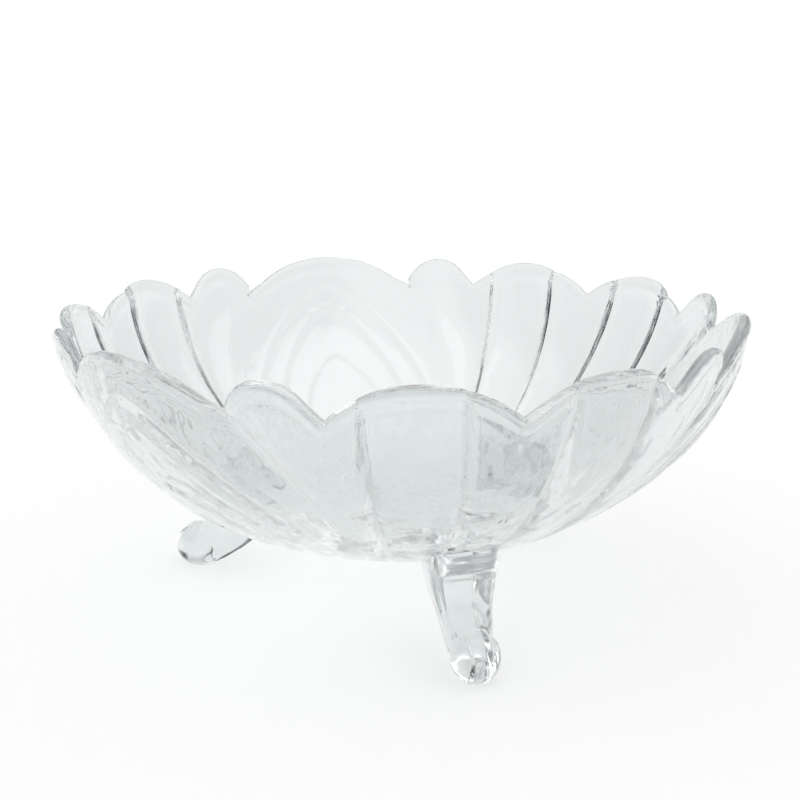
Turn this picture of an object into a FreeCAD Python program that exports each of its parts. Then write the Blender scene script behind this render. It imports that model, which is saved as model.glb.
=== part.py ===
import FreeCAD, Part
import math
import os

# A pressed glass bowl for floating candles. It is a wide oval bowl with a scalloped rim and a fluted outside,
# carried on three moulded scroll feet. Everything is in millimetres, with +Z up.
# The origin is on the bowl's axis, at the level of the table that the feet stand on.
# The pattern repeats once for each foot. Angles in a repeat are counted from the foot's own direction.

# The pattern round the axis
foot_names = ("foot_front", "foot_right", "foot_left")
foot_count = len(foot_names)
repeat_angle = 360.0 / foot_count
first_foot_angle = -90.0

# The outside of the bowl, which follows an oval seen from the side
bowl_radius = 125.0
bowl_middle_height = 116.0
bowl_half_height = 95.2
base_radius = 33.0
section_angles = (0.0, 17.0, 35.0, 54.0)

# The glass of the bowl
rim_wall = 4.4
floor_glass = 6.0
inner_floor_radius = 30.0
hollow_circles = 8
overrun = 4.0

# The flutes. Each crease has its angle at the base and its angle at the rim, and towards the rim
# the flutes between them swell out beyond the oval.
flute_depth = 1.9
crown_swell = 2.4
crown_swell_height = 62.0
crown_swell_power = 0.5
base_flute_depth_share = 0.4
full_flute_depth_share = 0.5
inner_crease_angles = (5.5, 8.5)
middle_crease_angles = (20.0, 22.5)
outer_crease_angles = (24.5, 41.7)
outer_crease_top_share = 0.87
outer_crease_sweep = 1.9

# The petals that lie on each other in the widest flute, from the outermost one in
petal_steps = (0.7, 1.4, 2.1)
petal_top_heights = (99.0, 88.0, 67.0)
petal_half_widths = (38.0, 27.0, 16.5)
petal_root_heights = (29.0, 33.0, 38.0)
petal_height_shares = (0.12, 0.36, 0.74)
petal_width_shares = (0.62, 1.0, 0.66)

# The scalloped rim: how high each lobe and notch stands, and the angles of the notches
double_lobe_top = 111.9
knob_top = 112.0
single_lobe_top = 113.1
foot_notch_height = 100.7
notch_height = 100.1
lobe_notch_angle = 27.5
knob_notch_angle = 41.7
rim_flat = 1.7
rim_bevel_drop = 1.1
rim_cover_share = 1.5

# The scroll toe that each foot stands on
toe_inset = 39.0
toe_radius = 8.7
toe_half_width = 8.3
toe_corner = 4.2
toe_corner_steps = 3
toe_eye_radius = 2.6
toe_eye_depth = 0.7
sole_depth = 0.4

# The leg above the toe, as levels from the sole to where it is inside the bowl's outline
leg_back_reach = 38.0
leg_waist = 10.5
leg_half_width = 13.6
leg_bevel = 2.2
leg_level_shares = (0.05, 0.2, 0.42, 0.68, 1.0)
leg_back_shares = (0.21, 0.5, 0.82, 0.97, 1.0)
leg_waist_shares = (0.0, 0.32, 1.0, 0.62, 0.14)
leg_width_shares = (0.58, 0.62, 0.76, 0.93, 1.0)

# Sizes that follow from the ones above
base_tilt = math.degrees(math.acos(base_radius / bowl_radius))
base_height = bowl_middle_height - bowl_half_height * math.sin(math.radians(base_tilt))
inner_floor_height = base_height + floor_glass
rim_top = max(double_lobe_top, knob_top, single_lobe_top)
toe_reach = bowl_radius - toe_inset
toe_height = toe_radius - sole_depth


def place(angle, radius, height):
    """A point by its direction round the axis, its distance from the axis and its height."""
    turn = math.radians(angle)
    return FreeCAD.Vector(radius * math.cos(turn), radius * math.sin(turn), height)


def turned(shape, angle):
    """A copy of a shape, turned round the bowl's axis."""
    copy = shape.copy()
    copy.rotate(FreeCAD.Vector(0, 0, 0), FreeCAD.Vector(0, 0, 1), angle)
    return copy


def between(ends, share):
    return ends[0] + (ends[1] - ends[0]) * share


def bow(first, crown, last):
    """A bowed edge from one point to another that passes through the crown half way."""
    curve = Part.BezierCurve()
    curve.setPoles([first, crown * 2 - (first + last) / 2, last])
    return curve.toShape()


def outer_radius(height):
    level = (bowl_middle_height - height) / bowl_half_height
    return bowl_radius * math.sqrt(1 - level * level)


def underside_height(radius):
    level = radius / bowl_radius
    return bowl_middle_height - bowl_half_height * math.sqrt(1 - level * level)


def crease_angles(height):
    """Where one repeat's creases are at this height. The outer ones sweep in below the knobs."""
    share = (height - base_height) / (rim_top - base_height)
    swept = min(share / outer_crease_top_share, 1) ** outer_crease_sweep
    inner = between(inner_crease_angles, share)
    middle = between(middle_crease_angles, share)
    outer = between(outer_crease_angles, swept)
    return [-outer, -middle, -inner, inner, middle, outer]


def swell(height):
    """How far the crown of a flute stands out beyond the oval at this height."""
    share = (height - crown_swell_height) / (rim_top - crown_swell_height)
    return crown_swell * max(0, min(share, 1)) ** crown_swell_power


def fluted_section(height, growth):
    """One level of the outside: an arc for each flute, meeting in the creases."""
    radius = outer_radius(height) + growth
    share = (height - base_height) / (rim_top - base_height)
    deepening = min(share / full_flute_depth_share, 1)
    depth = flute_depth * between((base_flute_depth_share, 1), deepening)
    creases = []
    for foot in range(foot_count):
        foot_angle = first_foot_angle + foot * repeat_angle
        creases += [foot_angle + angle for angle in crease_angles(height)]
    creases.append(creases[0] + foot_count * repeat_angle)
    flutes = []
    for start, end in zip(creases, creases[1:]):
        first = place(start, radius - depth, height)
        crown = place((start + end) / 2, radius + swell(height), height)
        last = place(end, radius - depth, height)
        flutes.append(bow(first, crown, last))
    return Part.Wire(flutes)


def fluted_blank(growth):
    """The outside of the bowl as a solid block, up to the oval's middle."""
    levels = []
    for angle in reversed(section_angles + (base_tilt,)):
        height = bowl_middle_height - bowl_half_height * math.sin(math.radians(angle))
        levels.append(fluted_section(height, growth))
    return Part.makeLoft(levels, True, False)


def petal_prism(root, top, half_width, angle):
    """A petal's outline seen from the side, pushed out from the axis along the petal's direction."""
    right = []
    left = []
    for height_share, width_share in zip(petal_height_shares, petal_width_shares):
        height = between((root, top), height_share)
        right.append(FreeCAD.Vector(0, half_width * width_share, height))
        left.insert(0, FreeCAD.Vector(0, -half_width * width_share, height))
    outline = Part.BSplineCurve()
    points = [FreeCAD.Vector(0, 0, root)] + right + [FreeCAD.Vector(0, 0, top)] + left
    outline.interpolate(points, True)
    face = Part.Face(Part.Wire(outline.toShape()))
    return turned(face.extrude(FreeCAD.Vector(bowl_radius + overrun, 0, 0)), angle)


def petals():
    """The raised petals of every wide flute, each step a little further out than the one around it."""
    steps = []
    sizes = zip(petal_steps, petal_root_heights, petal_top_heights, petal_half_widths)
    for step, root, top, half_width in sizes:
        grown = fluted_blank(step)
        for foot in range(foot_count):
            angle = first_foot_angle + (foot + 1 / 2) * repeat_angle
            steps.append(grown.common(petal_prism(root, top, half_width, angle)))
    return steps


def hollow():
    """The smooth inside: level circles that follow an oval from the flat floor to above the rim."""
    reach = bowl_radius - rim_wall
    floor_tilt = math.acos(inner_floor_radius / reach)
    depth = (bowl_middle_height - inner_floor_height) / math.sin(floor_tilt)
    circles = []
    for number in range(hollow_circles):
        tilt = floor_tilt * number / (hollow_circles - 1)
        centre = FreeCAD.Vector(0, 0, bowl_middle_height - depth * math.sin(tilt))
        circles.append(Part.Wire(Part.makeCircle(reach * math.cos(tilt), centre)))
    return turned(Part.makeLoft(circles, True, False), first_foot_angle)


def rim_lobes():
    """Each lobe as its first angle and notch height, its last angle and notch height, and its top."""
    far_knob = repeat_angle - knob_notch_angle
    far_lobe = repeat_angle - lobe_notch_angle
    pattern = [
        (0, foot_notch_height, lobe_notch_angle, notch_height, double_lobe_top),
        (lobe_notch_angle, notch_height, knob_notch_angle, notch_height, knob_top),
        (knob_notch_angle, notch_height, far_knob, notch_height, single_lobe_top),
        (far_knob, notch_height, far_lobe, notch_height, knob_top),
        (far_lobe, notch_height, repeat_angle, foot_notch_height, double_lobe_top),
    ]
    lobes = []
    for foot in range(foot_count):
        turn = first_foot_angle + foot * repeat_angle
        for start, start_height, end, end_height, top in pattern:
            lobes.append((turn + start, start_height, turn + end, end_height, top))
    return lobes


def rim_ring(offset, drop):
    """The scalloped line this far out from the middle of the wall and this far below the rim."""
    arches = []
    for start, start_height, end, end_height, top in rim_lobes():
        crown = (start + end) / 2
        ends = [(start, start_height, 0), (crown, top, swell(top) / 2), (end, end_height, 0)]
        points = []
        for angle, height, growth in ends:
            radius = outer_radius(height) - rim_wall / 2 + growth + offset
            points.append(place(angle, radius, height - drop))
        arches.append(bow(*points))
    return Part.Wire(arches)


def rim_roof():
    """A roof over the wall that follows the lobes: a narrow flat with a bevel on either side."""
    slope = rim_bevel_drop / ((rim_wall - rim_flat) / 2)
    cover = rim_wall * rim_cover_share
    cover_drop = slope * (cover - rim_flat / 2)
    rings = [
        rim_ring(-cover, cover_drop),
        rim_ring(-rim_flat / 2, 0),
        rim_ring(rim_flat / 2, 0),
        rim_ring(cover, cover_drop),
    ]
    return Part.makeLoft(rings, False, True)


def make_bowl():
    """The wall with its petals and hollow, whole up to the foot of the lobes and under the roof above."""
    wall = fluted_blank(0).multiFuse(petals()).cut(hollow())
    lobe_foot = notch_height - rim_wall
    below = Part.makeCylinder(bowl_radius + overrun, lobe_foot)
    strips = rim_roof().extrude(FreeCAD.Vector(0, 0, lobe_foot - rim_top - overrun)).Solids
    above = strips[0].multiFuse(strips[1:]).cut(below)
    return wall.common(below).fuse(wall.common(above))


def pushed_outline(rising, falling, push):
    """A block with two smooth curved sides and straight ends, made by pushing its outline."""
    edges = []
    for points in (rising, falling):
        curve = Part.BSplineCurve()
        curve.interpolate(points)
        edges.append(curve.toShape())
    edges.insert(1, Part.makeLine(rising[-1], falling[0]))
    edges.append(Part.makeLine(falling[-1], rising[0]))
    return Part.Face(Part.Wire(edges)).extrude(push)


def leg():
    """The leg of a foot that points along X: its shape from the side, cut to its shape from the front,
    which tapers down to the toe."""
    top = underside_height(toe_reach) + overrun
    front, back, low, high = [], [], [], []
    shares = zip(leg_level_shares, leg_waist_shares, leg_back_shares, leg_width_shares)
    for level, waist_share, back_share, width_share in shares:
        height = top * level
        half_width = leg_half_width * width_share
        front.append(FreeCAD.Vector(toe_reach - leg_waist * waist_share, -bowl_radius, height))
        back.insert(0, FreeCAD.Vector(toe_reach - leg_back_reach * back_share, -bowl_radius, height))
        low.append(FreeCAD.Vector(0, -half_width, height))
        high.insert(0, FreeCAD.Vector(0, half_width, height))
    from_side = pushed_outline(front, back, FreeCAD.Vector(0, 2 * bowl_radius, 0))
    from_front = pushed_outline(low, high, FreeCAD.Vector(bowl_radius, 0, 0))
    block = from_side.common(from_front)
    uprights = [edge for edge in block.Edges if edge.BoundBox.ZLength > top / 2]
    bevelled = [block.makeChamfer(leg_bevel, [edge]) for edge in uprights]
    return bevelled[0].common(bevelled[1]).common(bevelled[2]).common(bevelled[3])


def toe():
    """The scroll: a roll that lies across the foot, its ends rounded in steps, with a hollow eye in each."""
    start = FreeCAD.Vector(toe_reach, -toe_half_width, toe_height)
    across = FreeCAD.Vector(0, 1, 0)
    rounding = [(0, toe_radius)]
    for step in range(toe_corner_steps):
        angle = math.radians(90.0 * (step + 1) / toe_corner_steps)
        rounding.append((toe_corner * math.sin(angle), toe_radius - toe_corner * (1 - math.cos(angle))))
    near_end = [(toe_corner - along, out) for along, out in reversed(rounding)]
    far_end = [(2 * toe_half_width - toe_corner + along, out) for along, out in rounding]
    profile = [start]
    for along, out in near_end + far_end:
        profile.append(start + FreeCAD.Vector(0, along, out))
    profile += [start + across * (2 * toe_half_width), start]
    scroll = Part.Face(Part.makePolygon(profile)).revolve(start, across, 360)
    eye_ball_radius = (toe_eye_radius ** 2 + toe_eye_depth ** 2) / (2 * toe_eye_depth)
    for side in (-1, 1):
        away = toe_half_width - toe_eye_depth + eye_ball_radius
        centre = FreeCAD.Vector(toe_reach, side * away, toe_height)
        scroll = scroll.cut(Part.makeSphere(eye_ball_radius, centre))
    return scroll


def make_foot(outside):
    """One foot along X, cut to the outside of the bowl above and flat on the table below."""
    shape = leg().fuse(toe())
    ground = Part.makeBox(bowl_radius, bowl_radius, overrun, FreeCAD.Vector(0, -bowl_radius / 2, -overrun))
    return shape.cut(ground).cut(outside)


def write(name, shape):
    """One piece is one closed solid, written under its own name."""
    solids = shape.Solids
    print(name, "solids", len(solids), "volume", round(shape.Volume, 1), "valid", shape.isValid())
    Part.makeCompound(solids).exportStep("parts/" + name + ".step")


os.makedirs("parts", exist_ok=True)
bowl = make_bowl()
write("bowl", bowl)
outside = turned(fluted_blank(0), -first_foot_angle)
foot = make_foot(outside)
for number, name in enumerate(foot_names):
    write(name, turned(foot, first_foot_angle + number * repeat_angle))
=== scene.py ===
import math

import bpy
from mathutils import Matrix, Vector


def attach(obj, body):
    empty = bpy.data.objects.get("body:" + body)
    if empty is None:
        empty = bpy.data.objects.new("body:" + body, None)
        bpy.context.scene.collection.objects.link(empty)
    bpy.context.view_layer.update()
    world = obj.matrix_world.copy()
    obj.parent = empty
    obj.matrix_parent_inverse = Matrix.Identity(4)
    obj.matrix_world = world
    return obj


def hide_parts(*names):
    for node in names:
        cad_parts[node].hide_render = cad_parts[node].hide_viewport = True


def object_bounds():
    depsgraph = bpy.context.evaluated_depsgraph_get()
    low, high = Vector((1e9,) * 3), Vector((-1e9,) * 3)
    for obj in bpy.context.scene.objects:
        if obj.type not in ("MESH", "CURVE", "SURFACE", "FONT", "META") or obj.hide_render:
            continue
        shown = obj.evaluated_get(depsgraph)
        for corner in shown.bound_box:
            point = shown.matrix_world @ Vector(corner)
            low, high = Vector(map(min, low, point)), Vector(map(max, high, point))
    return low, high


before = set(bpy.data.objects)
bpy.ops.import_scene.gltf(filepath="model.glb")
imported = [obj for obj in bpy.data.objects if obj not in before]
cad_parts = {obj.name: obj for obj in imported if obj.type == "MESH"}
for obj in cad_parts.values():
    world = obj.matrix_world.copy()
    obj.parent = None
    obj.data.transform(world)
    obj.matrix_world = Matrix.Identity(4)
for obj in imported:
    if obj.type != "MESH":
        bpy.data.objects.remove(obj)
cadLow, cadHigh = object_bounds()
mm = 0.001
repeatAngle = 120.0
firstFootAngle = -90.0
footNodes = ("foot_front", "foot_right", "foot_left")


def onlySelect(*objects):
    bpy.ops.object.select_all(action="DESELECT")
    for item in objects:
        item.select_set(True)
    bpy.context.view_layer.objects.active = objects[0]


def applyModifiers(piece):
    onlySelect(piece)
    for modifier in list(piece.modifiers):
        bpy.ops.object.modifier_apply(modifier=modifier.name)


def tidyMesh(piece, reach=0.002):
    # closes seams and poles and turns the faces outwards; points within this reach in mm are merged
    onlySelect(piece)
    bpy.ops.object.mode_set(mode="EDIT")
    bpy.ops.mesh.select_all(action="SELECT")
    bpy.ops.mesh.remove_doubles(threshold=reach * mm)
    bpy.ops.mesh.normals_make_consistent(inside=False)
    bpy.ops.object.mode_set(mode="OBJECT")


def mixed(first, last, share):
    return first + (last - first) * share


# the camera stands where the photograph was taken
cameraSettings = {
    "place": (-126.73, -421.08, 190.53),  # mm from the bowl's axis at table level
    "downTilt": 14.771,  # degrees
    "turn": -16.711,
    "lens": 53.21,
    "nearClip": 10.0,  # mm
}


def addCamera():
    bpy.ops.object.camera_add(
        location=[value * mm for value in cameraSettings["place"]],
        rotation=(math.radians(90 - cameraSettings["downTilt"]), 0, math.radians(cameraSettings["turn"])),
    )
    camera = bpy.context.object
    camera.name = "camera"
    camera.data.lens = cameraSettings["lens"]
    camera.data.clip_start = cameraSettings["nearClip"] * mm
    bpy.context.scene.camera = camera


addCamera()
print("camera placed")


def hexColour(code):
    parts = [int(code[i:i + 2], 16) / 255 for i in (1, 3, 5)]
    linear = [p / 12.92 if p <= 0.04045 else ((p + 0.055) / 1.055) ** 2.4 for p in parts]
    return (*linear, 1.0)


def addNode(tree, kind, links=None, values=None, **settings):
    # one node, its own settings, its sockets' values, and the outputs that feed it
    node = tree.nodes.new(kind)
    for name, value in settings.items():
        setattr(node, name, value)
    for name, value in (values or {}).items():
        node.inputs[name].default_value = value
    for name, source in (links or {}).items():
        tree.links.new(source, node.inputs[name])
    return node


def newMaterial(name):
    material = bpy.data.materials.new(name)
    material.use_nodes = True
    material.node_tree.nodes.clear()
    return material


glassSettings = {
    "tint": "#eef1f1",  # faintly cool where light crosses a wall
    "footTint": "#e6ebeb",  # deeper where the glass is thick
    "shadowTint": "#fafcfb",
    "refraction": 1.51,
    "roughness": 0.05,
    "footRoughness": 0.09,  # the feet are less bright than the wall
    "rippleWidth": 11.0,  # mm, waves left by the mould, drawn out up the wall
    "rippleStretch": 0.3,
    "rippleHeight": 0.6,  # mm
    "footRippleHeight": 0.3,
    "rippleDetail": 2.2,
    "rippleRoughness": 0.4,
}


def pressedGlass(name, tint, rippleHeight, roughness):
    # clear pressed soda-lime glass, fire polished, which gives sharp reflections,
    # and slow ripples that bend what is seen behind it
    material = newMaterial(name)
    tree = material.node_tree
    place = addNode(tree, "ShaderNodeTexCoord")
    drawn = addNode(
        tree, "ShaderNodeMapping", {"Vector": place.outputs["Object"]},
        {"Scale": (1, 1, glassSettings["rippleStretch"])},
    )
    ripple = addNode(
        tree, "ShaderNodeTexNoise", {"Vector": drawn.outputs["Vector"]},
        {
            "Scale": 1 / (glassSettings["rippleWidth"] * mm),
            "Detail": glassSettings["rippleDetail"],
            "Roughness": glassSettings["rippleRoughness"],
        },
    )
    bump = addNode(
        tree, "ShaderNodeBump", {"Height": ripple.outputs["Fac"]},
        {"Strength": 1.0, "Distance": rippleHeight * mm},
    )
    glass = addNode(
        tree, "ShaderNodeBsdfPrincipled", {"Normal": bump.outputs["Normal"]},
        {
            "Base Color": hexColour(tint),
            "IOR": glassSettings["refraction"],
            "Roughness": roughness,
            "Transmission Weight": 1.0,
        },
    )
    # light falls through clear glass, so the shadow that it casts is a pale one
    path = addNode(tree, "ShaderNodeLightPath")
    clear = addNode(
        tree, "ShaderNodeBsdfTransparent",
        values={"Color": hexColour(glassSettings["shadowTint"])},
    )
    mix = addNode(
        tree, "ShaderNodeMixShader",
        {0: path.outputs["Is Shadow Ray"], 1: glass.outputs["BSDF"], 2: clear.outputs["BSDF"]},
    )
    addNode(tree, "ShaderNodeOutputMaterial", {"Surface": mix.outputs["Shader"]})
    return material


bowlGlass = pressedGlass(
    "clear pressed glass, bowl",
    glassSettings["tint"], glassSettings["rippleHeight"], glassSettings["roughness"],
)
footGlass = pressedGlass(
    "clear pressed glass, feet",
    glassSettings["footTint"], glassSettings["footRippleHeight"], glassSettings["footRoughness"],
)
print("glass mixed")

# the bowl is one sheet, wrapped round from under the base, up the outside, over the lip and down the inside;
# its sizes are in mm
bowlShape = {
    "radius": 125.0,
    "middleHeight": 116.0,
    "halfHeight": 95.2,
    "baseRadius": 33.0,
    "wall": 4.4,
    "floorGlass": 6.0,
    "innerFloorRadius": 30.0,
    "baseRound": 1.6,  # how softly the wall runs into the flat base
    "floorRound": 2.2,
}
rimShape = {
    "doubleTop": 111.9,
    "knobTop": 112.0,
    "singleTop": 113.1,
    "footNotch": 100.7,
    "notch": 100.1,
    "lobeNotchAngle": 27.5,  # degrees from the foot's direction
    "knobNotchAngle": 41.7,
    "roundness": 2.3,
    "softenReach": 1.3,  # degrees either side
    "softenSteps": 4,
    "notchSink": 1.0,  # what the softening lifts a notch by
    "lipSink": 0.16,  # keeps the top of the leaning lip at the lobes' height
    "lipLine": (6.2, 1.3, 0.3),  # a faint hollow line below the lip: how far below, how wide and how deep
    "lipPeak": 1.25,  # the lip is a little narrower than round
    "wallLean": 1.3,  # the lip starts this much lower outside than its middle, and higher inside
}
reliefShape = {
    "innerCrease": (5.5, 8.5),  # degrees from the foot's direction, at the base and at the rim
    "middleCrease": (20.0, 22.5),
    "outerCrease": (24.5, 41.7),
    "outerTopShare": 0.87,
    "outerSweep": 1.9,
    "fluteDepth": 1.0,
    "swell": 2.3,  # how far a flute's crown stands out beyond the oval at the rim
    "swellHeight": 62.0,
    "swellPower": 0.5,
    "innerSwellShare": 0.75,
    "deepening": (0.4, 0.5),  # a crease's share at the base, and how far up the wall it is whole
    "grooveDepths": (1.35, 1.45, -0.42),  # the creases beside the wide flutes are soft, and partly filled
    "grooveHalfWidth": 2.6,
    "groovePower": 1.5,
    "grooveFade": (2.0, 7.0),  # how far below the rim a groove is at its least share, and whole
    "grooveLeast": 0.25,
    "petals": (
        # root, top, half width and rise
        (29.0, 99.0, 38.0, 0.6),
        (33.0, 88.0, 27.0, 1.2),
        (38.0, 67.0, 16.5, 1.8),
    ),
    "petalPeak": 0.36,  # the share of its height at which a petal is widest
    "petalTip": (1.5, 0.8),  # the powers that draw its outline above that
    "petalEdge": 3.6,  # how wide its edge is
    "petalGroove": (0.38, 2.2, 1.2),  # the line round a petal: how deep, how far outside and how wide
    "slopeStep": 0.25,
    "leastSlope": 1e-4,
}
sheetCounts = {
    "creaseOffsets": (0.0, 0.17, 0.42, 0.8),  # degrees
    "flutes": (11, 9, 13, 84, 13, 9),  # from the foot's own flute round to the next foot's
    "outside": 104,
    "lip": 12,
    "inside": 34,
    "flat": (0.0, 0.3, 0.55, 0.72, 0.84, 0.93),  # rings under the base and on the inner floor
}
baseTilt = math.acos(bowlShape["baseRadius"] / bowlShape["radius"])
baseHeight = bowlShape["middleHeight"] - bowlShape["halfHeight"] * math.sin(baseTilt)
innerReach = bowlShape["radius"] - bowlShape["wall"]
innerFloorHeight = baseHeight + bowlShape["floorGlass"]
floorTilt = math.acos(bowlShape["innerFloorRadius"] / innerReach)
innerDepth = (bowlShape["middleHeight"] - innerFloorHeight) / math.sin(floorTilt)


def wallShare(height):
    return (height - baseHeight) / (rimShape["singleTop"] - baseHeight)


def creaseAngles(height):
    share = wallShare(height)
    swept = min(share / reliefShape["outerTopShare"], 1) ** reliefShape["outerSweep"]
    return (
        mixed(*reliefShape["innerCrease"], share),
        mixed(*reliefShape["middleCrease"], share),
        mixed(*reliefShape["outerCrease"], swept),
    )


def fluteEdges(height):
    inner, middle, outer = creaseAngles(height)
    return (-inner, inner, middle, outer, repeatAngle - outer, repeatAngle - middle, repeatAngle - inner)


def sheetColumns():
    # each column as its repeat, its flute, its offset from both creases and its share of the way between
    columns = []
    offsets = sheetCounts["creaseOffsets"]
    for repeat in range(len(footNodes)):
        for flute, count in enumerate(sheetCounts["flutes"]):
            columns += [(repeat, flute, offset, 0.0) for offset in offsets]
            columns += [(repeat, flute, offsets[-1], (number + 1) / (count + 1)) for number in range(count)]
            columns += [(repeat, flute, offset, 1.0) for offset in reversed(offsets[1:])]
    return columns


def columnAngle(column, height):
    repeat, flute, offset, share = column
    edges = fluteEdges(height)
    return repeat * repeatAngle + mixed(edges[flute] + offset, edges[flute + 1] - offset, share)


def foldedAngle(angle):
    # how far this direction is from the nearest foot's
    return abs((angle + repeatAngle / 2) % repeatAngle - repeatAngle / 2)


def ovalRadius(height):
    level = (bowlShape["middleHeight"] - height) / bowlShape["halfHeight"]
    return bowlShape["radius"] * math.sqrt(max(0, 1 - level * level))


def insideRadius(height):
    level = (bowlShape["middleHeight"] - height) / innerDepth
    return innerReach * math.sqrt(max(0, 1 - level * level))


def rounded(height, flat, reach):
    # follows the wall above the flat and the flat below it, with a soft turn in between
    return (height + flat + math.sqrt((height - flat) ** 2 + reach * reach)) / 2


def fluteBow(away, height):
    # 1 on the crown of a flute and 0 in the creases at its sides
    creases = creaseAngles(height)
    edges = (-creases[0], *creases, repeatAngle - creases[2])
    for first, last in zip(edges, edges[1:]):
        if first <= away <= last:
            place = 2 * (away - first) / (last - first) - 1
            return 1 - place * place
    return 0.0


def crownSwell(height):
    share = (height - reliefShape["swellHeight"]) / (rimShape["singleTop"] - reliefShape["swellHeight"])
    return reliefShape["swell"] * min(max(share, 0), 1) ** reliefShape["swellPower"]


def insideWall(angle, height):
    # the inside is smooth, and swells a little with each flute towards the rim
    swell = crownSwell(height) * reliefShape["innerSwellShare"]
    return insideRadius(height) + swell * fluteBow(foldedAngle(angle), height)


def petalLevel(across, height, petal):
    # below 0 inside the petal's outline and above 0 outside it
    root, top, halfWidth, _ = petal
    peak = reliefShape["petalPeak"]
    sharp, full = reliefShape["petalTip"]
    share = (height - root) / (top - root)
    if share > peak:
        far = (share - peak) / (1 - peak)
        span = abs(1 - far ** sharp) ** full
    else:
        far = (peak - share) / peak
        span = abs(1 - far * far) ** 0.5
    return abs(across) / halfWidth - (span if far < 1 else -span)


def petalRise(across, height):
    rise, previous = 0.0, 0.0
    step = reliefShape["slopeStep"]
    depth, beyond, reach = reliefShape["petalGroove"]
    for petal in reliefShape["petals"]:
        right, left = (petalLevel(across + side, height, petal) for side in (step, -step))
        above, below = (petalLevel(across, height + side, petal) for side in (step, -step))
        slope = math.hypot((right - left) / (2 * step), (above - below) / (2 * step))
        # how far outside the petal's edge this is, in mm
        distance = petalLevel(across, height, petal) / max(slope, reliefShape["leastSlope"])
        share = min(max(0.5 - distance / reliefShape["petalEdge"], 0), 1)
        rise += (petal[3] - previous) * share * share * (3 - 2 * share)
        rise -= depth * math.exp(-((distance - beyond) / reach) ** 2)
        previous = petal[3]
    return rise


def grooveDepth(angle, radius, height):
    # the groove along each crease, which fades towards the rim; a depth below 0 fills the crease
    away = foldedAngle(angle)
    creases = zip(creaseAngles(height), reliefShape["grooveDepths"])
    nearest, depth = min((abs(away - crease), depth) for crease, depth in creases)
    if depth < 0:
        flute = reliefShape["fluteDepth"]
        depth *= (flute + crownSwell(height)) / (flute + reliefShape["swell"])
    beside = math.radians(nearest) * radius / reliefShape["grooveHalfWidth"]
    groove = depth * max(0, 1 - beside) ** reliefShape["groovePower"]
    least, whole = reliefShape["grooveFade"]
    fade = (lobeHeight(angle) - height - least) / (whole - least)
    return groove * mixed(reliefShape["grooveLeast"], 1, min(max(fade, 0), 1))


def outsideRadius(angle, height):
    away = foldedAngle(angle)
    bow = fluteBow(away, height)
    least, whole = reliefShape["deepening"]
    deepening = mixed(least, 1, min(max(wallShare(height), 0) / whole, 1))
    radius = ovalRadius(height) + crownSwell(height) * bow
    groove = grooveDepth(angle, radius, height)
    radius -= (reliefShape["fluteDepth"] * (1 - bow) + groove) * deepening
    below, reach, depth = rimShape["lipLine"]
    radius -= depth * math.exp(-((softLobeHeight(angle) - height - below) / reach) ** 2)
    if away > creaseAngles(height)[2]:
        across = math.sin(math.radians(repeatAngle / 2 - away)) * radius
        radius += petalRise(across, height)
    return radius


def lobeHeight(angle):
    # the scalloped line of the rim before it is softened
    away = foldedAngle(angle)
    lobeNotch, knobNotch = rimShape["lobeNotchAngle"], rimShape["knobNotchAngle"]
    notch = rimShape["notch"] - rimShape["notchSink"]
    footNotch = rimShape["footNotch"] - rimShape["notchSink"]
    lobes = (
        (0, footNotch, lobeNotch, notch, rimShape["doubleTop"]),
        (lobeNotch, notch, knobNotch, notch, rimShape["knobTop"]),
        (knobNotch, notch, repeatAngle - knobNotch, notch, rimShape["singleTop"]),
    )
    for start, startHeight, end, endHeight, top in lobes:
        if start <= away <= end:
            share = (away - start) / (end - start)
            foot = mixed(startHeight, endHeight, share)
            return foot + (top - foot) * (1 - abs(2 * share - 1) ** rimShape["roundness"])


def softLobeHeight(angle):
    count, reach = rimShape["softenSteps"], rimShape["softenReach"]
    steps = range(-count, count + 1)
    weights = [count + 1 - abs(step) for step in steps]
    total = sum(w * lobeHeight(angle + reach * step / count) for w, step in zip(weights, steps))
    return total / sum(weights)


def point(angle, radius, height):
    turn = math.radians(angle + firstFootAngle)
    return Vector((radius * math.cos(turn), radius * math.sin(turn), height))


def lipCentres(columns):
    # for each column, where the lip's round starts outside and where it ends inside
    ends = []
    halfWall = math.hypot(bowlShape["wall"] / 2, rimShape["wallLean"]) + rimShape["lipSink"]
    for column in columns:
        rim = softLobeHeight(columnAngle(column, rimShape["notch"]))
        centre = rim - halfWall
        angle = columnAngle(column, centre)
        low, high = centre - rimShape["wallLean"], centre + rimShape["wallLean"]
        outer = point(angle, outsideRadius(angle, low), low)
        ends.append((angle, low, outer, point(angle, insideWall(angle, high), high)))
    return ends


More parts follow.
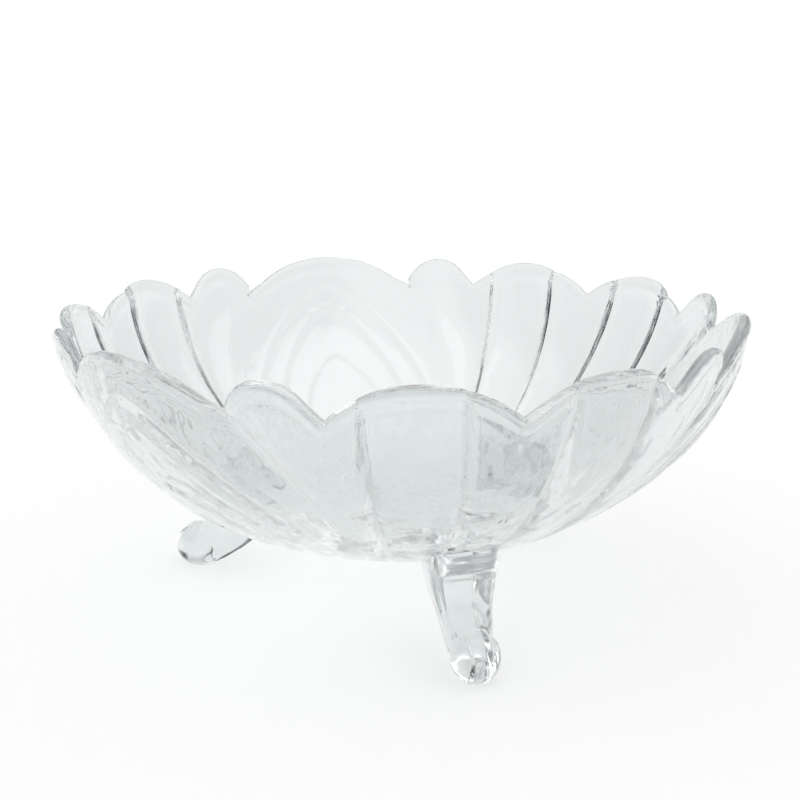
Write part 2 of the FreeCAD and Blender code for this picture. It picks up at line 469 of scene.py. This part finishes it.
def bowlRows(columns):
    # every column's points, row by row
    ends = lipCentres(columns)
    middles = [(outer + inner) / 2 for _, _, outer, inner in ends]
    rows = []
    baseRound, floorRound = bowlShape["baseRound"], bowlShape["floorRound"]
    for share in sheetCounts["flat"]:
        reach = share * bowlShape["baseRadius"] / bowlShape["radius"]
        level = bowlShape["middleHeight"] - bowlShape["halfHeight"] * math.sqrt(1 - reach * reach)
        level = rounded(level, baseHeight, baseRound)
        row = []
        for column in columns:
            angle = columnAngle(column, baseHeight)
            row.append(point(angle, share * outsideRadius(angle, baseHeight), level))
        rows.append(row)
    for number in range(sheetCounts["outside"] + 1):
        row = []
        for column, end in zip(columns, ends):
            lipTilt = math.asin((bowlShape["middleHeight"] - end[1]) / bowlShape["halfHeight"])
            tilt = mixed(baseTilt, lipTilt, number / sheetCounts["outside"])
            height = bowlShape["middleHeight"] - bowlShape["halfHeight"] * math.sin(tilt)
            angle = columnAngle(column, height)
            row.append(point(angle, outsideRadius(angle, height), rounded(height, baseHeight, baseRound)))
        rows.append(row)
    for number in range(1, sheetCounts["lip"]):
        turn = math.pi * number / sheetCounts["lip"]
        row = []
        for index, end in enumerate(ends):
            before, after = middles[index - 1], middles[(index + 1) % len(middles)]
            across = (end[2] - end[3]) / 2
            up = across.normalized().cross((after - before).normalized())
            rise = across.length * math.sin(turn) ** rimShape["lipPeak"]
            row.append(middles[index] + across * math.cos(turn) + up * rise)
        rows.append(row)
    for number in range(sheetCounts["inside"] + 1):
        row = []
        for column, end in zip(columns, ends):
            lipTilt = math.asin((bowlShape["middleHeight"] - end[3].z) / innerDepth)
            tilt = mixed(lipTilt, floorTilt, number / sheetCounts["inside"])
            height = bowlShape["middleHeight"] - innerDepth * math.sin(tilt)
            angle = columnAngle(column, min(height, end[1]))
            level = rounded(height, innerFloorHeight, floorRound)
            row.append(point(angle, insideWall(angle, height), level))
        rows.append(row)
    for share in reversed(sheetCounts["flat"]):
        radius = share * bowlShape["innerFloorRadius"]
        level = bowlShape["middleHeight"] - innerDepth * math.sqrt(1 - (radius / innerReach) ** 2)
        level = rounded(level, innerFloorHeight, floorRound)
        rows.append([point(columnAngle(column, innerFloorHeight), radius, level) for column in columns])
    return rows


def makeBowl():
    columns = sheetColumns()
    rows = bowlRows(columns)
    across, along = len(columns), len(rows) - 1
    bpy.ops.object.select_all(action="DESELECT")
    bpy.ops.mesh.primitive_grid_add(x_subdivisions=across, y_subdivisions=along, size=1)
    sheet = bpy.context.object
    sheet.name = "bowlSheet"
    for vertex in sheet.data.vertices:
        column = round((vertex.co.x + 0.5) * across) % across
        row = round((vertex.co.y + 0.5) * along)
        vertex.co = rows[row][column] * mm
    tidyMesh(sheet)
    sheet.data.materials.append(bowlGlass)
    return sheet


bowlPiece = makeBowl()
print("bowl wrapped:", len(bowlPiece.data.polygons), "faces")

# the feet: a scroll toe under a leg that widens to the bowl, in mm
footShape = {
    "toeReach": 86.0,
    "toeRadius": 8.7,
    "toeHalfWidth": 8.3,
    "toeCorner": 7.2,
    "soleDepth": 0.4,
    "rollSides": 72,
    "toeSegments": 9,
    "eyeRadius": 3.4,
    "eyeRing": 0.55,
    "eyeOut": 0.1,  # how far the middle of the ring stands outside the end of the toe
    "eyeSegments": (48, 16),
    "backReach": 38.0,
    "waist": 10.5,
    "halfWidth": 13.6,
    # share of the height, then the shares of the waist, the back and the width there
    "levels": (
        (0.05, 0.40, 0.27, 0.50),
        (0.16, 0.17, 0.51, 0.57),
        (0.30, 0.12, 0.72, 0.65),
        (0.45, 0.62, 0.88, 0.80),
        (0.62, 0.72, 0.96, 0.94),
        (0.80, 0.52, 1.0, 1.0),
        (1.0, 0.22, 1.0, 1.0),
    ),
    "legTop": 50.9,
    "legRings": 56,
    "legSides": 96,
    "corners": 4.0,  # 2 would give an oval, and more gives squarer corners
    "backTaper": 0.7,  # the leg's back edge is narrower than its front
    "frontFrom": 0.8,  # how far forward the leg's front face begins
    "panelShare": 0.72,  # the front has a sunk panel between two ribs
    "panelEdge": 0.16,
    "panelDepth": 0.3,
    "panelFrom": 17.0,
    "panelFade": 5.0,
    "seams": ((33.5, 0.3), (37.0, 0.4), (40.5, 0.45), (43.5, 0.4)),  # heights and rises of the mould's steps
    "seamReach": 0.8,
    "sink": 1.6,  # how deep the leg runs into the bowl's wall
    "hollowSegments": (192, 96),
    "voxel": 0.55,
    "polish": (0.5, 3),  # strength and rounds
    "bandHalfWidth": 3.8,
    "bandStep": 0.35,
    "bandSegments": 2,
    "flat": 1e-6,  # m, an edge that runs less than this across the toe lies in one of its ends
}
toeHeight = footShape["toeRadius"] - footShape["soleDepth"]


def levelAt(share):
    # a smooth curve through the leg's levels: waist, back and width shares
    levels = footShape["levels"]
    share = min(max(share, levels[0][0]), levels[-1][0])
    index = max(i for i in range(len(levels) - 1) if levels[i][0] <= share)
    first, last = levels[index], levels[index + 1]
    before, after = levels[max(index - 1, 0)], levels[min(index + 2, len(levels) - 1)]
    t = (share - first[0]) / (last[0] - first[0])
    values = []
    for k in (1, 2, 3):
        slopeFirst = (last[k] - before[k]) / (last[0] - before[0]) * (last[0] - first[0])
        slopeLast = (after[k] - first[k]) / (after[0] - first[0]) * (last[0] - first[0])
        values.append(
            (2 * t ** 3 - 3 * t ** 2 + 1) * first[k] + (t ** 3 - 2 * t ** 2 + t) * slopeFirst
            + (3 * t ** 2 - 2 * t ** 3) * last[k] + (t ** 3 - t ** 2) * slopeLast
        )
    return values


def frontRelief(across, height):
    # the sunk panel between the ribs, and the low steps across its top
    inside = min(max((footShape["panelShare"] - across) / footShape["panelEdge"], 0), 1)
    above = min(max((height - footShape["panelFrom"]) / footShape["panelFade"], 0), 1)
    reach = footShape["seamReach"]
    steps = sum(rise * math.exp(-((height - level) / reach) ** 2) for level, rise in footShape["seams"])
    return inside * above * (steps - footShape["panelDepth"])


def makeLeg():
    count, sides = footShape["legRings"], footShape["legSides"]
    bpy.ops.object.select_all(action="DESELECT")
    bpy.ops.mesh.primitive_circle_add(vertices=sides, radius=1, fill_type="NGON")
    leg = bpy.context.object
    for _ in range(count - 1):
        bpy.ops.object.mode_set(mode="EDIT")
        bpy.ops.mesh.extrude_region_move(TRANSFORM_OT_translate={"value": (0, 0, 1)})
        bpy.ops.object.mode_set(mode="OBJECT")
    for vertex in leg.data.vertices:
        share = mixed(footShape["levels"][0][0], 1, vertex.co.z / (count - 1))
        waist, back, width = levelAt(share)
        height = footShape["legTop"] * share
        frontX = footShape["toeReach"] - footShape["waist"] * waist
        backX = footShape["toeReach"] - footShape["backReach"] * back
        halfWidth = footShape["halfWidth"] * width
        turn = math.atan2(vertex.co.y, vertex.co.x)
        power = 2 / footShape["corners"]
        alongX = math.copysign(abs(math.cos(turn)) ** power, math.cos(turn))
        alongY = math.copysign(abs(math.sin(turn)) ** power, math.sin(turn))
        x = (frontX + backX) / 2 + (frontX - backX) / 2 * alongX
        narrowed = mixed(footShape["backTaper"], 1, (1 + alongX) / 2)
        if alongX > footShape["frontFrom"]:
            x += frontRelief(abs(alongY), height)
        vertex.co = Vector((x, halfWidth * narrowed * alongY, height)) * mm
    tidyMesh(leg)
    return leg


def makeRoll(radius, halfWidth, corner, segments):
    bpy.ops.object.select_all(action="DESELECT")
    bpy.ops.mesh.primitive_cylinder_add(
        vertices=footShape["rollSides"], radius=radius * mm, depth=2 * halfWidth * mm,
        location=(footShape["toeReach"] * mm, 0, toeHeight * mm), rotation=(math.radians(90), 0, 0),
    )
    roll = bpy.context.object
    bpy.ops.object.transform_apply(location=True, rotation=True)
    bpy.ops.object.mode_set(mode="EDIT")
    bpy.ops.mesh.select_mode(type="EDGE")
    bpy.ops.mesh.select_all(action="DESELECT")
    bpy.ops.object.mode_set(mode="OBJECT")
    for edge in roll.data.edges:
        # the edges of the two ends
        first, last = (roll.data.vertices[i].co for i in edge.vertices)
        edge.select = abs(first.y - last.y) < footShape["flat"]
    bpy.ops.object.mode_set(mode="EDIT")
    bpy.ops.mesh.bevel(offset=corner * mm, segments=segments, profile=0.5)
    bpy.ops.mesh.select_mode(type="VERT")
    bpy.ops.object.mode_set(mode="OBJECT")
    return roll


def makeEye(side):
    # the ring-shaped groove in the end of the scroll
    middle = side * (footShape["toeHalfWidth"] + footShape["eyeOut"])
    around, along = footShape["eyeSegments"]
    bpy.ops.object.select_all(action="DESELECT")
    bpy.ops.mesh.primitive_torus_add(
        major_radius=footShape["eyeRadius"] * mm, minor_radius=footShape["eyeRing"] * mm,
        major_segments=around, minor_segments=along,
        location=(footShape["toeReach"] * mm, middle * mm, toeHeight * mm),
        rotation=(math.radians(90), 0, 0),
    )
    eye = bpy.context.object
    bpy.ops.object.transform_apply(location=True, rotation=True)
    return eye


def combine(piece, tool, operation):
    onlySelect(piece)
    join = piece.modifiers.new("join", "BOOLEAN")
    join.operation = operation
    join.solver = "EXACT"
    join.object = tool
    bpy.ops.object.modifier_apply(modifier=join.name)
    bpy.data.objects.remove(tool)


def makeFoot():
    # the toe is a roll with rounded ends, and a low band runs round its middle
    radius, step = footShape["toeRadius"], footShape["bandStep"]
    foot = makeRoll(
        radius - step, footShape["toeHalfWidth"], footShape["toeCorner"], footShape["toeSegments"],
    )
    combine(foot, makeRoll(radius, footShape["bandHalfWidth"], step, footShape["bandSegments"]), "UNION")
    for side in (-1, 1):
        combine(foot, makeEye(side), "DIFFERENCE")
    combine(foot, makeLeg(), "UNION")
    # a fine remesh melts the joins together, as fire polishing does
    onlySelect(foot)
    remesh = foot.modifiers.new("melt", "REMESH")
    remesh.mode = "VOXEL"
    remesh.voxel_size = footShape["voxel"] * mm
    smooth = foot.modifiers.new("polish", "SMOOTH")
    smooth.factor, smooth.iterations = footShape["polish"]
    applyModifiers(foot)
    for vertex in foot.data.vertices:
        vertex.co.z = max(vertex.co.z, 0)
    # the top follows the bowl's oval, a little way in, so that the leg ends inside the wall's glass
    segments, rings = footShape["hollowSegments"]
    bpy.ops.object.select_all(action="DESELECT")
    bpy.ops.mesh.primitive_uv_sphere_add(segments=segments, ring_count=rings, radius=1)
    hollow = bpy.context.object
    wide = (bowlShape["radius"] - footShape["sink"]) * mm
    deep = (bowlShape["halfHeight"] - footShape["sink"]) * mm
    middle = bowlShape["middleHeight"] * mm
    for vertex in hollow.data.vertices:
        x, y, z = vertex.co
        vertex.co = Vector((x * wide, y * wide, z * deep + middle))
    combine(foot, hollow, "DIFFERENCE")
    foot.data.materials.append(footGlass)
    return foot


firstFoot = makeFoot()
feet = []
for number, name in enumerate(footNodes):
    onlySelect(firstFoot)
    bpy.ops.object.duplicate()
    foot = bpy.context.object
    foot.name = "foot" + name.split("_")[1].capitalize()
    turn = math.radians(firstFootAngle + number * repeatAngle)
    for vertex in foot.data.vertices:
        x, y = vertex.co.x, vertex.co.y
        vertex.co.x = x * math.cos(turn) - y * math.sin(turn)
        vertex.co.y = x * math.sin(turn) + y * math.cos(turn)
    feet.append(foot)
bpy.data.objects.remove(firstFoot)
print("feet made:", len(feet[0].data.polygons), "faces each")


def separateMesh(kind):
    bpy.ops.object.mode_set(mode="EDIT")
    bpy.ops.mesh.select_all(action="SELECT")
    bpy.ops.mesh.separate(type=kind)
    bpy.ops.object.mode_set(mode="OBJECT")


def fuseGlass(bowl, parts):
    # bowl and feet are one melt: they are united, then parted again along the line where they meet,
    # so that light passes from one into the other with no surface in between
    onlySelect(bowl)
    for foot in parts:
        join = bowl.modifiers.new("melt", "BOOLEAN")
        join.operation = "UNION"
        join.solver = "EXACT"
        join.object = foot
        join.material_mode = "TRANSFER"
        bpy.ops.object.modifier_apply(modifier=join.name)
    names = [foot.name for foot in parts]
    for foot in parts:
        bpy.data.objects.remove(foot)
    print("united:", len(bowl.data.polygons), "faces")
    separateMesh("MATERIAL")
    return names


def nearestFoot(piece):
    centre = sum((v.co for v in piece.data.vertices), Vector()) / len(piece.data.vertices)
    angle = math.degrees(math.atan2(centre.y, centre.x)) - firstFootAngle
    return round(angle / repeatAngle) % len(footNodes)


smoothAngle = 50.0  # degrees, faces that meet more sharply keep a hard edge
names = fuseGlass(bowlPiece, feet)
footPieces = []
for piece in [o for o in bpy.context.selected_objects if o.type == "MESH"]:
    if piece.data.materials[0] == bowlGlass:
        piece.name = "bowlWall"
        bowlPiece = piece
    else:
        onlySelect(piece)
        separateMesh("LOOSE")
        footPieces += list(bpy.context.selected_objects)
for piece in footPieces:
    number = nearestFoot(piece)
    piece.name = names[number]
    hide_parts(footNodes[number])
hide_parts("bowl")
for piece in [bowlPiece, *footPieces]:
    onlySelect(piece)
    bpy.ops.object.shade_smooth_by_angle(angle=math.radians(smoothAngle))
    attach(piece, "root")
    print(piece.name, len(piece.data.polygons), "faces")
print("glass fused and parted")

# the studio: a pale floor, one wide soft light from above and a pale room with dark cards at both sides,
# which draw the creases and edges of the glass as grey lines
studio = {
    "white": "#ffffff",
    "floor": "#d2d2d2",
    "floorSize": 60.0,  # m
    "floorGlow": 0.37,  # the paper lies on a light table
    "roomStrength": 0.7,  # the room's plain light on the paper
    # how pale the room is in the glass, from the horizon up: in front and behind, and then at the sides
    "room": ((0.04, "#ffffff"), (0.3, "#dcdcdc"), (0.7, "#dcdcdc"), (0.9, "#f4f4f4")),
    "cards": (
        (0.03, "#ffffff"), (0.14, "#70777e"), (0.26, "#1d2329"), (0.7, "#1d2329"), (0.88, "#e7e7e7"),
    ),
    "cardsFacing": (0.958, -0.287, 0.0),  # they stand in this direction and in the opposite one
    "cardsFrom": (0.2, 0.5),  # cosines from that direction at which they begin, and are whole
    "skyFrom": (0.3, -0.2, 1.0),
    "skyStrength": 1.0,
    "skySpread": 60.0,  # degrees
    "lightBounces": 96,
}


def makeFloor():
    bpy.ops.object.select_all(action="DESELECT")
    bpy.ops.mesh.primitive_plane_add(size=studio["floorSize"], location=(0, 0, cadLow.z))
    floor = bpy.context.object
    floor.name = "floor"
    material = newMaterial("matt white paper")
    tree = material.node_tree
    path = addNode(tree, "ShaderNodeLightPath")
    seen = addNode(
        tree, "ShaderNodeMath",
        {0: path.outputs["Is Camera Ray"], 1: path.outputs["Is Glossy Ray"]}, operation="MAXIMUM",
    )
    seen = addNode(
        tree, "ShaderNodeMath",
        {0: seen.outputs[0], 1: path.outputs["Is Transmission Ray"]}, operation="MAXIMUM",
    )
    glow = addNode(
        tree, "ShaderNodeMath", {0: seen.outputs[0]}, {1: studio["floorGlow"]}, operation="MULTIPLY",
    )
    paper = addNode(
        tree, "ShaderNodeBsdfPrincipled", {"Emission Strength": glow.outputs[0]},
        {
            "Base Color": hexColour(studio["floor"]),
            "Roughness": 1.0,
            "Emission Color": hexColour(studio["white"]),
            "Specular IOR Level": 0.0,
        },
    )
    addNode(tree, "ShaderNodeOutputMaterial", {"Surface": paper.outputs["BSDF"]})
    floor.data.materials.append(material)


def paintBands(ramp, colours):
    # a colour for each height up the room, running softly from one into the next
    bands = ramp.color_ramp.elements
    while len(bands) < len(colours):
        bands.new(1.0)
    for band, (position, colour) in zip(bands, colours):
        band.position = position
        band.color = hexColour(colour)


def makeRoom():
    world = bpy.data.worlds.new("pale room")
    bpy.context.scene.world = world
    world.use_nodes = True
    tree = world.node_tree
    tree.nodes.clear()
    place = addNode(tree, "ShaderNodeTexCoord")
    split = addNode(tree, "ShaderNodeSeparateXYZ", {0: place.outputs["Generated"]})
    room = addNode(tree, "ShaderNodeValToRGB", {"Fac": split.outputs["Z"]})
    cards = addNode(tree, "ShaderNodeValToRGB", {"Fac": split.outputs["Z"]})
    paintBands(room, studio["room"])
    paintBands(cards, studio["cards"])
    aside = addNode(
        tree, "ShaderNodeVectorMath", {0: place.outputs["Generated"]}, {1: studio["cardsFacing"]},
        operation="DOT_PRODUCT",
    )
    aside = addNode(tree, "ShaderNodeMath", {0: aside.outputs["Value"]}, operation="ABSOLUTE")
    near, far = studio["cardsFrom"]
    aside = addNode(
        tree, "ShaderNodeMapRange", {"Value": aside.outputs[0]}, {"From Min": near, "From Max": far},
        interpolation_type="SMOOTHSTEP",
    )
    shade = addNode(
        tree, "ShaderNodeMixRGB",
        {"Fac": aside.outputs["Result"], "Color1": room.outputs["Color"], "Color2": cards.outputs["Color"]},
    )
    # the glass shows the room with its cards, the paper takes a plain light from it,
    # and the camera sees it white
    path = addNode(tree, "ShaderNodeLightPath")
    seen = addNode(
        tree, "ShaderNodeMath",
        {0: path.outputs["Is Glossy Ray"], 1: path.outputs["Is Transmission Ray"]}, operation="MAXIMUM",
    )
    studioLight = addNode(tree, "ShaderNodeBackground", {"Color": shade.outputs["Color"]}, {"Strength": 1.0})
    colour = hexColour(studio["white"])
    softLight = addNode(
        tree, "ShaderNodeBackground", values={"Color": colour, "Strength": studio["roomStrength"]},
    )
    white = addNode(tree, "ShaderNodeBackground", values={"Color": colour, "Strength": 1.0})
    inGlass = addNode(
        tree, "ShaderNodeMixShader",
        {0: seen.outputs[0], 1: softLight.outputs[0], 2: studioLight.outputs[0]},
    )
    backdrop = addNode(
        tree, "ShaderNodeMixShader",
        {0: path.outputs["Is Camera Ray"], 1: inGlass.outputs[0], 2: white.outputs[0]},
    )
    addNode(tree, "ShaderNodeOutputWorld", {"Surface": backdrop.outputs[0]})


def addLamp():
    towards = Vector(studio["skyFrom"])
    bpy.ops.object.light_add(type="SUN", location=towards)
    sky = bpy.context.object
    sky.data.energy = studio["skyStrength"]
    sky.data.angle = math.radians(studio["skySpread"])
    sky.rotation_euler = (-towards).to_track_quat("-Z", "Y").to_euler()
    sky.visible_glossy = False  # no round patch of it in the glass


makeFloor()
makeRoom()
addLamp()
bpy.context.scene.view_settings.view_transform = "Standard"
# light runs a long way round inside thick glass before it leaves it
bpy.context.scene.cycles.max_bounces = studio["lightBounces"]
bpy.context.scene.cycles.glossy_bounces = studio["lightBounces"]
bpy.context.scene.cycles.transmission_bounces = studio["lightBounces"]
print("studio lit")
